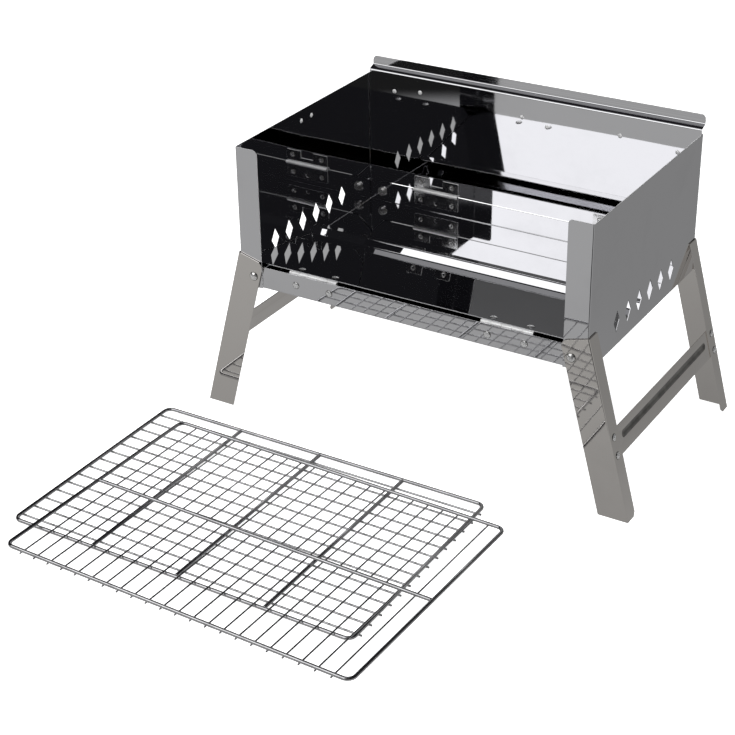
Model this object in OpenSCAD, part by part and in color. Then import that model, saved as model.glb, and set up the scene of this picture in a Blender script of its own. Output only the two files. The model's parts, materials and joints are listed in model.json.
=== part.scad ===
// Folding camp grill: a sheet-steel firebox on two folding leg frames, with two loose
// wire grates lying on the ground in front of it.
// +X runs to the grill's right, -Y is its front, +Z is up and Z = 0 is the ground.

/* [Firebox] */
// Outside width across the two side walls
body_w = 400; // [380:2:420]
// Outside depth across the flanges of the side walls
body_d = 264; // [256:2:272]
// Height of the side walls, from their bottom edge to their top edge
wall_h = 154; // [150:1:158]
// Width of the flanges on the side walls
flange_w = 26.5; // [25.5:0.5:27]
// Height of the tray's front and rear walls
tray_h = 24.5; // [23.5:0.5:25.5]
// Thickness of the sheet in the firebox
sheet = 0.8; // [0.6:0.1:0.9]

/* [Side wall vents] */
// Number of diamond vents in each side wall
vent_count = 6; // [4:1:7]
// Distance from one vent to the next
vent_pitch = 27; // [24:0.5:30]
// Width of a vent
vent_w = 14; // [8:0.5:16]
// Height of a vent
vent_h = 24; // [16:0.5:28]

/* [Folding panels] */
// Height of a panel's flat part above the hinge pin
panel_h = 133; // [131:0.5:134]
// How far the rim of a panel steps outwards
rim_step = 8.5; // [7:0.5:9]
// Height of the lip on the rim
lip_h = 10; // [8:0.5:11]
// Angle that the front panel is folded down from upright
front_fold = 99.9; // [96:0.1:101]

/* [Hinges] */
// Length of each butt hinge
hinge_len = 57; // [50:1:60]
// Distance from the grill's middle to the middle of a hinge
hinge_x = 111.7; // [100:0.1:120]
// Diameter of the hinge pins
hinge_pin_d = 2.2; // [2:0.1:2.4]

/* [Legs] */
// Outward splay of the standing legs
splay = 15; // [14:0.5:15.5]
// Height of the leg pivots above the ground
pivot_z = 165.8; // [160:0.1:170]
// Width of a leg's front or rear face
leg_w = 31.5; // [28:0.5:34]
// Depth of a leg's side face
leg_depth = 18; // [15:0.5:22]
// Thickness of the sheet in the legs
leg_sheet = 1; // [0.8:0.1:1]
// Width of the braces
brace_w = 30.4; // [26:0.2:32]

/* [Charcoal grate] */
// Outside length of the frame
coal_w = 395; // [380:1:396]
// Outside depth of the frame
coal_d = 257; // [240:1:258]
// Number of lengthwise wires
coal_wires = 14; // [8:1:16]

/* [Cooking grate] */
// Outside length of the frame
cook_w = 399; // [380:1:400]
// Outside depth of the frame
cook_d = 276; // [250:1:278]
// Number of cross wires
cook_wires = 22; // [12:1:24]
// How far the cooking grate is turned as it lies
cook_turn = -1.5; // [-3:0.1:0]

/* [Hidden] */
$fn = 48;

// Bends and clearances
bend_r = 1.6;
fit_gap = 0.1;
move_gap = 0.3;

// Side walls
wall_x = body_w / 2;
wall_z = pivot_z - 13;
pivot_x = wall_x - 17;
flange_y = body_d / 2;
flange_corner_r = 4.5;
vent_z = wall_z + 26.8;
wall_dimple_z = wall_z + wall_h - 12;
wall_dimple_gap = 20;

// Tray
tray_y = flange_y - sheet - move_gap;
tray_z = wall_z + 0.2;
tray_x = wall_x - sheet - 0.4;

// Hinges and panels, measured from the pin's axis: "out" leaves the firebox, "up" is +Z
knuckle_r = 2;
leaf_sheet = 0.8;
panel_out = knuckle_r + 0.1;
pin_y = tray_y - sheet - panel_out;
panel_foot = 0.5;
pin_z = tray_z + tray_h + panel_foot;
edge_gap = knuckle_r;
panel_x = wall_x - 1.5;
rim_rise = 3.5;
lip_lean = 0.5;
rim_bend_r = 2;
rim_bend_steps = 5;
lip_corner_r = 5;
notch_w = 17;
notch_h = 42;
dimple_r = 2.5;
dimple_h = 1.2;
dimples_at = [[-166, 112], [-133, 116], [-6, 110], [24, 104], [109, 110], [174, 104]];
base_leaf_h = 16;
panel_leaf_h = 14;
leaf_notch_w = 17;
leaf_notch_h = 8.5;
leaf_rivet_x = 20.2;
base_rivet_drop = 12;
panel_rivet_up = 10;
knuckles = 5;
knuckle_gap = 0.15;

// Rivets
rivet_shank_r = 1.6;
rivet_head_r = 4;
rivet_head_h = 1.4;
rivet_roll_r = 3.3;
rivet_roll_h = 0.7;
rivet_fit = 0.03;

// Pivot bolts
bolt_r = 2.5;
bolt_head_r = 4.9;
bolt_head_h = 2.5;
nut_flats = 8;
nut_h = 3.6;
washer_r = 5.6;
washer_h = 0.8;
spacer_h = 0.5;
leg_bore_gap = 0.07;
bolt_bore_gap = 0.05;

// Legs, measured from the pivot: "down" follows the leg, "side" leaves the firebox
leg_face_y = flange_y + 0.7;
leg_side = 23.8;
leg_top = 18.5;
leg_corner_r = 7;
leg_bend_r = 1.8;
foot_chamfer = 4;
leg_reach = 200;
brace_down = 96.6;
brace_end = 130.4;
brace_rivets_down = [88, 107.4];
brace_rivet_y = 126;
groove_down = 94.2;
groove_w = 8.4;
groove_end = 108;
groove_depth = 1.6;

// Grates
frame_wire = 4;
coal_wire = 2.2;
cook_wire = 1.8;
grate_corner_r = 8;
weld = 0.2;
coal_at = [-77.5, -306.5];
cook_at = [-42, -347];
coal_pitch = 17.4;
cook_pitch = 17;
coal_overhang = 1.5;
cook_overhang = 0.6;
coal_bar_pitch = 100;
coal_bar_shift = 1.8;
coal_frame_z = coal_wire + frame_wire / 2 - weld;
cook_wires_z = coal_frame_z + frame_wire / 2 + move_gap + cook_wire / 2;
cook_frame_z = cook_wires_z + cook_wire / 2 + frame_wire / 2 - weld;

// The origin is the middle of everything's footprint, on the ground
foot_x = pivot_x + (pivot_z * sin(splay) + leg_side) / cos(splay);
reach_left = coal_at[0] - coal_w / 2 - coal_overhang;
reach_rear = pin_y + panel_out + sheet + rim_step + lip_lean;
cook_corner = [(cook_wires - 1) / 2 * cook_pitch + cook_wire / 2, cook_d / 2 + cook_overhang];
reach_front = cook_at[1] + sin(cook_turn) * cook_corner[0] - cos(cook_turn) * cook_corner[1];
origin_shift = [-(foot_x + reach_left) / 2, -(reach_rear + reach_front) / 2, 0];

polished = [0.78, 0.78, 0.79];
satin = [0.56, 0.55, 0.53];
wire_grey = [0.45, 0.45, 0.46];

// An outline in X and Z, as thick as y0 to y1
module along_y(y0, y1) {
    translate([0, y1, 0])
        rotate([90, 0, 0])
            linear_extrude(y1 - y0) children();
}

// An outline in Y and Z, as thick as x0 to x1
module along_x(x0, x1) {
    translate([x0, 0, 0])
        rotate([90, 0, 90])
            linear_extrude(x1 - x0) children();
}

// A round rod along Y
module rod_y(r, y0, y1) {
    translate([0, y1, 0]) rotate([90, 0, 0]) cylinder(r = r, h = y1 - y0);
}

// A round rod along X
module rod_x(r, x0, x1) {
    translate([x0, 0, 0]) rotate([0, 90, 0]) cylinder(r = r, h = x1 - x0);
}

// What is cut from a square corner at the origin to round it
module corner_cut(r) {
    difference() {
        translate([-r, -r]) square(r + 1);
        translate([-r, -r]) circle(r);
    }
}

// A quarter of a bend, its outer corner at the origin
module bend_2d(t, r) {
    translate([-r, r])
        intersection() {
            difference() {
                circle(r);
                circle(r - t);
            }
            translate([0, -r]) square(r);
        }
}

// A folded channel: its web on the Y axis, its two arms along -X
module channel_2d(web, arm, t, r) {
    translate([-t, r - web / 2]) square([t, web - 2 * r]);
    for (m = [0, 1])
        mirror([0, m]) {
            translate([-arm, -web / 2]) square([arm - r, t]);
            translate([0, -web / 2]) bend_2d(t, r);
        }
}

// A folded angle: outer corner at the origin, one arm along -X and one along +Y
module angle_2d(a, b, t, r) {
    translate([-a, 0]) square([a - r, t]);
    translate([-t, r]) square([t, b - r]);
    bend_2d(t, r);
}

// The domed head of a bolt or rivet, standing on Z = 0
module dome(r, h) {
    ball = (r * r + h * h) / (2 * h);
    intersection() {
        translate([0, 0, h - ball]) sphere(ball, $fn = 64);
        cylinder(r = r + 1, h = h + 1);
    }
}

// A pressed dimple that stands out along +Z from Z = 0
module dimple() {
    dome(dimple_r, dimple_h);
}

// A rivet along +Z: head above Z = 0, rolled end below -grip
module rivet(grip) {
    dome(rivet_head_r, rivet_head_h);
    translate([0, 0, -grip]) cylinder(r = rivet_shank_r, h = grip);
    translate([0, 0, -grip - rivet_roll_h])
        difference() {
            cylinder(r = rivet_roll_r, h = rivet_roll_h);
            translate([0, 0, -1]) cylinder(r = rivet_shank_r, h = rivet_roll_h + 0.6);
        }
}

// Everything is drawn about the firebox's middle and then moved to the shared origin
module place() {
    translate(origin_shift) children();
}

// Repeats its children at the four leg pivots, drawn for the front right one
module at_pivots() {
    for (mx = [0, 1], my = [0, 1])
        mirror([mx, 0, 0]) mirror([0, my, 0])
            translate([pivot_x, 0, pivot_z]) children();
}

// ---- Firebox ----

module side_wall() {
    difference() {
        translate([wall_x, 0, wall_z])
            linear_extrude(wall_h) channel_2d(body_d, flange_w, sheet, bend_r);
        translate([wall_x - flange_w, 0, wall_z + wall_h])
            along_y(-body_d, body_d) mirror([1, 0]) corner_cut(flange_corner_r);
        for (i = [0 : vent_count - 1])
            translate([0, (i - (vent_count - 1) / 2) * vent_pitch, vent_z])
                along_x(wall_x - 2, wall_x + 1)
                    polygon([[-vent_w / 2, 0], [0, -vent_h / 2], [vent_w / 2, 0], [0, vent_h / 2]]);
        translate([pivot_x, 0, pivot_z]) rod_y(bolt_r + bolt_bore_gap, -body_d, body_d);
    }
    for (side = [-1, 1])
        translate([wall_x - sheet, side * wall_dimple_gap / 2, wall_dimple_z])
            rotate([0, -90, 0]) dimple();
}

module left_wall() {
    color(polished) place() mirror([1, 0, 0]) side_wall();
}

module right_wall() {
    color(polished) place() side_wall();
}

module base_tray() {
    color(polished) place()
        difference() {
            along_x(-tray_x, tray_x)
                translate([0, tray_z])
                    rotate(-90) channel_2d(2 * tray_y, tray_h, sheet, bend_r);
            for (m = [0, 1])
                mirror([m, 0, 0])
                    translate([tray_x, 0, tray_z + tray_h])
                        along_y(-body_d, body_d) corner_cut(flange_corner_r);
            at_pivots() rod_y(bolt_r + bolt_bore_gap, -body_d, -1);
            for (x = rivet_columns())
                translate([x, 0, pin_z - base_rivet_drop])
                    rod_y(rivet_shank_r + rivet_fit, -body_d, body_d);
        }
}

module pivot_bolts() {
    color(satin) place()
        at_pivots() {
            translate([0, -leg_face_y - leg_sheet - fit_gap, 0]) rotate([90, 0, 0]) dome(bolt_head_r, bolt_head_h);
            rod_y(bolt_r, -leg_face_y - leg_sheet - fit_gap, -tray_y + sheet + washer_h + nut_h + 1.2);
        }
}

module spacer_washers() {
    color(satin) place()
        at_pivots()
            difference() {
                rod_y(washer_r, -flange_y - spacer_h, -flange_y);
                rod_y(bolt_r + fit_gap, -body_d, 0);
            }
}

module nut_washers() {
    color(satin) place()
        at_pivots()
            difference() {
                rod_y(washer_r, -tray_y + sheet, -tray_y + sheet + washer_h);
                rod_y(bolt_r + fit_gap, -body_d, 0);
            }
}

module pivot_nuts() {
    color(satin) place()
        at_pivots()
            difference() {
                translate([0, -tray_y + sheet + washer_h + nut_h, 0])
                    rotate([90, 0, 0]) cylinder(d = nut_flats / cos(30), h = nut_h, $fn = 6);
                rod_y(bolt_r + 0.02, -body_d, 0);
            }
}

// ---- Hinges, drawn about the pin's axis: +Y leaves the firebox and +Z is up ----

// Where the rivets stand along X
function rivet_columns() = [for (m = [-1, 1], s = [-1, 1]) m * hinge_x + s * leaf_rivet_x];

// Repeats its children at the front (front = true) or rear hinge line
module at_hinge_line(front) {
    mirror([0, front ? 1 : 0, 0])
        translate([0, pin_y, pin_z]) children();
}

// One hinge leaf below the pin (up = -1) or above it (up = 1), with its own knuckles
module leaf(up, height, rivet_up, first_knuckle) {
    knuckle_len = hinge_len / knuckles;
    mirror([0, 0, up < 0 ? 1 : 0])
        difference() {
            union() {
                translate([-hinge_len / 2, panel_out - leaf_sheet, edge_gap])
                    cube([hinge_len, leaf_sheet, height - edge_gap + knuckle_r]);
                for (i = [first_knuckle : 2 : knuckles - 1])
                    translate([i * knuckle_len - hinge_len / 2 + knuckle_gap, 0, 0]) {
                        rod_x(knuckle_r, 0, knuckle_len - 2 * knuckle_gap);
                        translate([0, panel_out - leaf_sheet, 0])
                            cube([knuckle_len - 2 * knuckle_gap, leaf_sheet - fit_gap, edge_gap + 0.5]);
                    }
            }
            rod_x(hinge_pin_d / 2 + (up > 0 ? 0.05 : 0.02), -hinge_len, hinge_len);
            for (s = [-1, 1])
                translate([s * leaf_rivet_x, 0, rivet_up]) rod_y(rivet_shank_r + rivet_fit, -10, 10);
            if (up < 0)
                translate([0, 0, rivet_up + 1.4]) rod_y(2.2, -10, 10);
            if (up > 0)
                translate([-leaf_notch_w / 2, -10, height + knuckle_r - leaf_notch_h])
                    cube([leaf_notch_w, 20, leaf_notch_h + 1]);
        }
}

module base_leaf(front, side) {
    color(satin) place()
        at_hinge_line(front) translate([side * hinge_x, 0, 0]) leaf(-1, base_leaf_h, base_rivet_drop, 0);
}

module panel_leaf(side) {
    translate([side * hinge_x, 0, 0]) leaf(1, panel_leaf_h, panel_rivet_up, 1);
}

module hinge_pin(front, side) {
    color(satin) place()
        at_hinge_line(front)
            translate([side * hinge_x, 0, 0])
                rod_x(hinge_pin_d / 2, -hinge_len / 2 - 0.3, hinge_len / 2 + 0.3);
}

module rear_left_base_leaf() {
    base_leaf(false, -1);
}

module rear_right_base_leaf() {
    base_leaf(false, 1);
}

module front_left_base_leaf() {
    base_leaf(true, -1);
}

module front_right_base_leaf() {
    base_leaf(true, 1);
}

module rear_left_hinge_pin() {
    hinge_pin(false, -1);
}

module rear_right_hinge_pin() {
    hinge_pin(false, 1);
}

module front_left_hinge_pin() {
    hinge_pin(true, -1);
}

module front_right_hinge_pin() {
    hinge_pin(true, 1);
}

// A row of rivets through a sheet and the leaves behind it
module rivet_row(up) {
    for (x = rivet_columns())
        translate([x, panel_out + sheet, up]) rotate([-90, 0, 0]) rivet(sheet + leaf_sheet);
}

module tray_rivets() {
    color(satin) place()
        for (front = [false, true])
            at_hinge_line(front) rivet_row(-base_rivet_drop);
}

// ---- Panels, drawn upright about the pin's axis: +Y leaves the firebox ----

function unit(v) = v / norm(v);

// Points of an arc of radius r that rounds the corner b of the path a, b, c
function arc_points(a, b, c, r, steps) =
    let (
        u = unit(a - b),
        w = unit(c - b),
        half = acos(u * w) / 2,
        middle = b + unit(u + w) * r / sin(half),
        p = b + u * r / tan(half) - middle,
        q = b + w * r / tan(half) - middle
    )
    [for (i = [0 : steps]) middle + r * unit(p * (1 - i / steps) + q * i / steps)];

// The direction square to a path at its point i
function across(path, i) =
    let (d = unit(path[min(i + 1, len(path) - 1)] - path[max(i - 1, 0)]))
    [-d[1], d[0]];

// The closed outline of a sheet of thickness t that follows a path
function sheet_outline(path, t) = concat(
    [for (i = [0 : len(path) - 1]) path[i] + across(path, i) * t / 2],
    [for (i = [len(path) - 1 : -1 : 0]) path[i] - across(path, i) * t / 2]
);

// The middle line of a panel's section: flat sheet, step outwards, lip
function panel_path() =
    let (
        out = panel_out + sheet / 2,
        foot = [out, panel_foot],
        step_in = [out, panel_h],
        step_out = step_in + [rim_step, rim_rise],
        lip_top = step_out + [lip_lean, lip_h]
    )
    concat(
        [foot],
        arc_points(foot, step_in, step_out, rim_bend_r, rim_bend_steps),
        arc_points(step_in, step_out, lip_top, rim_bend_r, rim_bend_steps),
        [lip_top]
    );

module panel() {
    top = panel_h + rim_rise + lip_h;
    difference() {
        along_x(-panel_x, panel_x) polygon(sheet_outline(panel_path(), sheet));
        for (m = [0, 1])
            mirror([m, 0, 0]) {
                along_y(-5, 20)
                    polygon([
                        [panel_x - notch_w, panel_foot - 1],
                        [panel_x - notch_w, panel_foot],
                        [panel_x, panel_foot + notch_h],
                        [panel_x + 1, panel_foot + notch_h],
                        [panel_x + 1, panel_foot - 1]
                    ]);
                translate([panel_x, 0, top]) along_y(-5, 20) corner_cut(lip_corner_r);
            }
        for (x = rivet_columns())
            translate([x, 0, panel_rivet_up]) rod_y(rivet_shank_r + rivet_fit, -20, 20);
    }
    for (at = dimples_at)
        translate([at[0], panel_out, at[1]]) rotate([90, 0, 0]) dimple();
}

// Stands its children up on the rear hinge line
module on_back_panel() {
    place() at_hinge_line(false) children();
}

// Folds its children down on the front hinge line
module on_front_panel() {
    place() at_hinge_line(true) rotate([front_fold, 0, 0]) children();
}

module back_panel() {
    color(polished) on_back_panel() panel();
}

module rear_left_panel_leaf() {
    color(satin) on_back_panel() panel_leaf(-1);
}

module rear_right_panel_leaf() {
    color(satin) on_back_panel() panel_leaf(1);
}

module back_panel_rivets() {
    color(satin) on_back_panel() rivet_row(panel_rivet_up);
}

module front_panel() {
    color(polished) on_front_panel() panel();
}

module front_left_panel_leaf() {
    color(satin) on_front_panel() panel_leaf(-1);
}

module front_right_panel_leaf() {
    color(satin) on_front_panel() panel_leaf(1);
}

module front_panel_rivets() {
    color(satin) on_front_panel() rivet_row(panel_rivet_up);
}

// ---- Legs, drawn about the pivot: -Z runs down the leg and +X leaves the firebox ----

// Turns a leg's children to their splay on the right side (side = 1) or the left
module on_legs(side) {
    place()
        mirror([side < 0 ? 1 : 0, 0, 0])
            translate([pivot_x, 0, pivot_z]) rotate([0, -splay, 0]) children();
}

// The front leg; the ground cuts its foot level
module leg(side, rear) {
    color(satin)
        difference() {
            on_legs(side)
                mirror([0, rear ? 1 : 0, 0])
                    difference() {
                        translate([leg_side, -leg_face_y - leg_sheet, -leg_reach])
                            linear_extrude(leg_reach + leg_top)
                                angle_2d(leg_w, leg_depth, leg_sheet, leg_bend_r);
                        translate([leg_side - leg_w, 0, leg_top])
                            along_y(-body_d, body_d) mirror([1, 0]) corner_cut(leg_corner_r);
                        rod_y(bolt_r + leg_bore_gap, -body_d, body_d);
                        for (down = brace_rivets_down)
                            translate([0, -brace_rivet_y, -down])
                                rod_x(rivet_shank_r + rivet_fit, 0, 2 * leg_side);
                    }
            place() {
                translate([-body_w, -body_d, -100]) cube([2 * body_w, 2 * body_d, 100]);
                for (m = [0, 1])
                    mirror([0, m, 0])
                        translate([0, -leg_face_y - leg_sheet + leg_depth, 0])
                            along_x(-body_w, body_w)
                                polygon([[1, -1], [1, foot_chamfer], [0, foot_chamfer], [-foot_chamfer, 0],
                                         [-foot_chamfer, -1]]);
            }
        }
}

// A slot-shaped outline in Y and Z
module groove_2d(half_len, w) {
    translate([-half_len + w / 2, -w / 2]) square([2 * half_len - w, w]);
    for (s = [-1, 1])
        translate([s * (half_len - w / 2), 0]) circle(d = w);
}

module brace(side) {
    outer = leg_side - leg_sheet - 0.05;
    inner = outer - leg_sheet;
    color(satin) on_legs(side) {
        difference() {
            along_x(inner, outer)
                translate([-brace_end, -brace_down - brace_w / 2]) square([2 * brace_end, brace_w]);
            translate([0, 0, -groove_down])
                along_x(inner - 1, outer + 1) groove_2d(groove_end, groove_w);
            for (down = brace_rivets_down, s = [-1, 1])
                translate([0, s * brace_rivet_y, -down])
                    rod_x(rivet_shank_r + rivet_fit, 0, 2 * leg_side);
        }
        translate([0, 0, -groove_down])
            difference() {
                along_x(inner - groove_depth, outer - fit_gap)
                    groove_2d(groove_end + leg_sheet / 2, groove_w + leg_sheet);
                along_x(inner - groove_depth + leg_sheet, outer + 1)
                    groove_2d(groove_end - leg_sheet / 2, groove_w - leg_sheet);
            }
    }
}

module brace_rivets(side) {
    color(satin) on_legs(side)
        for (down = brace_rivets_down, s = [-1, 1])
            translate([leg_side, s * brace_rivet_y, -down])
                rotate([0, 90, 0]) rivet(2 * leg_sheet + 0.05);
}

module left_front_leg() {
    leg(-1, false);
}

module left_rear_leg() {
    leg(-1, true);
}

module left_brace() {
    brace(-1);
}

module left_brace_rivets() {
    brace_rivets(-1);
}

module right_front_leg() {
    leg(1, false);
}

module right_rear_leg() {
    leg(1, true);
}

module right_brace() {
    brace(1);
}

module right_brace_rivets() {
    brace_rivets(1);
}

// ---- Grates, drawn about their own middle with the wire's axis on Z = 0 ----

// A rectangle of bent wire with round corners
module wire_frame(w, d, wire, r) {
    half_w = w / 2 - wire / 2;
    half_d = d / 2 - wire / 2;
    for (s = [-1, 1]) {
        translate([0, s * half_d, 0]) rod_x(wire / 2, r - half_w, half_w - r);
        translate([s * half_w, 0, 0]) rod_y(wire / 2, r - half_d, half_d - r);
    }
    for (mx = [0, 1], my = [0, 1])
        mirror([mx, 0, 0]) mirror([0, my, 0])
            translate([half_w - r, half_d - r, 0])
                rotate_extrude(angle = 90) translate([r, 0]) circle(wire / 2);
}

module on_charcoal_grate(z) {
    color(wire_grey) place() translate([coal_at[0], coal_at[1], z]) children();
}

module on_cooking_grate(z) {
    color(wire_grey) place() translate([cook_at[0], cook_at[1], z]) rotate(cook_turn) children();
}

module charcoal_grate_frame() {
    on_charcoal_grate(coal_frame_z) wire_frame(coal_w, coal_d, frame_wire, grate_corner_r);
}

module charcoal_grate_wires() {
    half = coal_w / 2 + coal_overhang;
    on_charcoal_grate(coal_wire / 2)
        for (i = [0 : coal_wires - 1])
            translate([0, (i - (coal_wires - 1) / 2) * coal_pitch, 0]) rod_x(coal_wire / 2, -half, half);
}

module charcoal_grate_crossbars() {
    half = coal_d / 2 - frame_wire + 1;
    on_charcoal_grate(coal_frame_z)
        for (i = [-1 : 1])
            translate([i * coal_bar_pitch + coal_bar_shift, 0, 0]) rod_y(frame_wire / 2, -half, half);
}

module cooking_grate_frame() {
    on_cooking_grate(cook_frame_z) wire_frame(cook_w, cook_d, frame_wire, grate_corner_r);
}

module cooking_grate_wires() {
    half = cook_d / 2 + cook_overhang;
    on_cooking_grate(cook_wires_z)
        for (i = [0 : cook_wires - 1])
            translate([(i - (cook_wires - 1) / 2) * cook_pitch, 0, 0]) rod_y(cook_wire / 2, -half, half);
}

module cooking_grate_center_bar() {
    half = cook_w / 2 - frame_wire + 1;
    on_cooking_grate(cook_frame_z) rod_x(frame_wire / 2, -half, half);
}

base_tray();
left_wall();
right_wall();
pivot_bolts();
spacer_washers();
nut_washers();
pivot_nuts();
front_left_base_leaf();
front_right_base_leaf();
rear_left_base_leaf();
rear_right_base_leaf();
front_left_hinge_pin();
front_right_hinge_pin();
rear_left_hinge_pin();
rear_right_hinge_pin();
tray_rivets();
front_panel();
front_left_panel_leaf();
front_right_panel_leaf();
front_panel_rivets();
back_panel();
rear_left_panel_leaf();
rear_right_panel_leaf();
back_panel_rivets();
left_front_leg();
left_rear_leg();
left_brace();
left_brace_rivets();
right_front_leg();
right_rear_leg();
right_brace();
right_brace_rivets();
charcoal_grate_frame();
charcoal_grate_wires();
charcoal_grate_crossbars();
cooking_grate_frame();
cooking_grate_wires();
cooking_grate_center_bar();
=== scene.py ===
import json
import math

import bmesh
import bpy
from mathutils import Matrix, Vector


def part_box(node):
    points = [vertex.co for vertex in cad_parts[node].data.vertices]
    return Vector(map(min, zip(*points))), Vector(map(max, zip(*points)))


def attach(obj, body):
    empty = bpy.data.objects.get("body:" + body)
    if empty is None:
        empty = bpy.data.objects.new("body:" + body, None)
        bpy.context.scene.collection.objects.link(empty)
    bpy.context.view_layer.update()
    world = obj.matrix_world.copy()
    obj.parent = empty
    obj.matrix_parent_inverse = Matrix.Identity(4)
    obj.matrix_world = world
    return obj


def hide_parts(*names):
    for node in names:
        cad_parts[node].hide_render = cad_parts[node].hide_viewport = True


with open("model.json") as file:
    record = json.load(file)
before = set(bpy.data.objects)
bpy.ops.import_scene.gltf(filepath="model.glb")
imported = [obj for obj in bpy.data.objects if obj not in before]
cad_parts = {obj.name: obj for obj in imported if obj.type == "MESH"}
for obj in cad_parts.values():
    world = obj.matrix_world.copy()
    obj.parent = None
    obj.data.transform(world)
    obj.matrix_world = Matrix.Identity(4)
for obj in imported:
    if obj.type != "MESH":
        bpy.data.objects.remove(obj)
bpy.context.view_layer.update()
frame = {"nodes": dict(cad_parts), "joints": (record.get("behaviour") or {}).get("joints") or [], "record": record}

MM = 0.001


# ---- Shader building ----

class Field:
    """A value, colour or vector that varies over a surface: one output socket of a node."""

    def __init__(self, tree, socket=None):
        self.tree = tree
        self.socket = socket

    def make(self, kind, settings=(), stops=(), sockets=(), output=0):
        """Adds a node: its settings first, then its ramp's stops, then its sockets."""
        node = self.tree.nodes.new(kind)
        for key, value in dict(settings).items():
            setattr(node, key, value)
        if stops:
            ramp = node.color_ramp.elements
            while len(ramp) < len(stops):
                ramp.new(0.5)
            for element, (place, colour) in zip(ramp, stops):
                element.position = place
                element.color = (*colour, 1) if len(colour) == 3 else colour
        for key, value in dict(sockets).items():
            if isinstance(value, Field):
                self.tree.links.new(value.socket, node.inputs[key])
            else:
                node.inputs[key].default_value = value
        return Field(self.tree, node.outputs[output])

    def maths(self, operation, a, b=0.0):
        return self.make("ShaderNodeMath", {"operation": operation}, sockets={0: a, 1: b})

    def __add__(self, other):
        return self.maths("ADD", self, other)

    def __radd__(self, other):
        return self.maths("ADD", other, self)

    def __sub__(self, other):
        return self.maths("SUBTRACT", self, other)

    def __rsub__(self, other):
        return self.maths("SUBTRACT", other, self)

    def __mul__(self, other):
        return self.maths("MULTIPLY", self, other)

    def __rmul__(self, other):
        return self.maths("MULTIPLY", other, self)

    def noise(self, where, scale, detail=2.0, roughness=0.5):
        return self.make(
            "ShaderNodeTexNoise",
            sockets={"Vector": where, "Scale": scale, "Detail": detail, "Roughness": roughness},
        )

    def between(self, low, high):
        """This value, from 0 to 1, spread over low to high."""
        return self * (high - low) + low

    def step(self, low, high):
        """0 below low, 1 above high and smooth between them."""
        return self.make(
            "ShaderNodeMapRange",
            {"interpolation_type": "SMOOTHSTEP"},
            sockets={"Value": self, "From Min": low, "From Max": high},
        )

    def blend(self, low, high):
        """Mixes two colours by this value."""
        return self.make(
            "ShaderNodeMix",
            {"data_type": "RGBA"},
            sockets={0: self, 6: low if isinstance(low, Field) else (*low, 1),
                     7: high if isinstance(high, Field) else (*high, 1)},
            output=2,
        )


def new_material(name):
    """A material with only its Principled shader, and the object's own coordinates."""
    material = bpy.data.materials.new(name)
    material.use_nodes = True
    tree = material.node_tree
    tree.nodes.clear()
    shader = tree.nodes.new("ShaderNodeBsdfPrincipled")
    output = tree.nodes.new("ShaderNodeOutputMaterial")
    tree.links.new(shader.outputs[0], output.inputs[0])
    start = Field(tree)
    place = start.make("ShaderNodeTexCoord", output=3)
    return material, shader, start, place


def connect(shader, **values):
    """Feeds the Principled shader's sockets; underscores stand for spaces."""
    for key, value in values.items():
        socket = shader.inputs[key.replace("_", " ")]
        if isinstance(value, Field):
            value.tree.links.new(value.socket, socket)
        else:
            socket.default_value = value


def stretched(start, place, scale, turn=(0, 0, 0)):
    """The coordinates stretched by a scale along each axis."""
    return start.make(
        "ShaderNodeMapping", sockets={"Vector": place, "Scale": scale, "Rotation": turn}
    )


def polished_sheet(name, tint, wave_height, wave_scale, smudge=0.03, gloss=0.02):
    """Mirror-polished sheet: shallow waves from pressing, faint smudges and hairline scratches."""
    material, shader, start, place = new_material(name)
    waves = start.noise(place, wave_scale, 1.0, 0.4)
    smudges = start.noise(place, 14, 4.0, 0.62).step(0.48, 0.8)
    hair = start.noise(stretched(start, place, (9, 9, 900)), 4, 2.0, 0.6).step(0.64, 0.82)
    pressed = start.make(
        "ShaderNodeBump", sockets={"Height": waves, "Distance": wave_height, "Strength": 1.0}
    )
    dull = tuple(0.95 * c for c in tint)
    connect(
        shader,
        Base_Color=smudges.blend(tint, dull),
        Metallic=1.0,
        Roughness=gloss + smudge * smudges + 0.025 * hair,
        Normal=pressed,
    )
    return material


def plated_metal(name, tint, dark, grain, gloss=0.18, metal=1.0):
    """Small plated or drawn parts: a little darker in patches, with a fine grain."""
    material, shader, start, place = new_material(name)
    patches = start.noise(place, 60, 3.0, 0.6).step(0.35, 0.7)
    fine = start.noise(place, grain, 2.0, 0.5)
    rough = start.make(
        "ShaderNodeBump", sockets={"Height": fine, "Distance": 0.00004, "Strength": 1.0}
    )
    connect(
        shader,
        Base_Color=patches.blend(tint, dark),
        Metallic=metal,
        Roughness=gloss + 0.12 * patches,
        Normal=rough,
    )
    return material


STEEL_TINT = (0.76, 0.76, 0.775)
MATERIALS = {
    "polished_steel": polished_sheet("mirror_sheet", STEEL_TINT, 0.0005, 6.0),
    "leg_steel": polished_sheet("leg_sheet", (0.78, 0.75, 0.715), 0.0007, 9.0, 0.03, 0.03),
    "hinge_steel": plated_metal("hinge_steel", (0.74, 0.74, 0.74), (0.6, 0.6, 0.6), 900, 0.06),
    "rivet_steel": plated_metal(
        "rivet_steel", (0.84, 0.84, 0.84), (0.68, 0.68, 0.68), 700, 0.12, 0.75
    ),
    "bolt_steel": plated_metal(
        "bolt_zinc", (0.84, 0.83, 0.82), (0.66, 0.66, 0.65), 700, 0.09, 0.85
    ),
    "grate_wire": plated_metal("chromed_wire", (0.7, 0.7, 0.71), (0.56, 0.56, 0.57), 500, 0.07),
}


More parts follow.
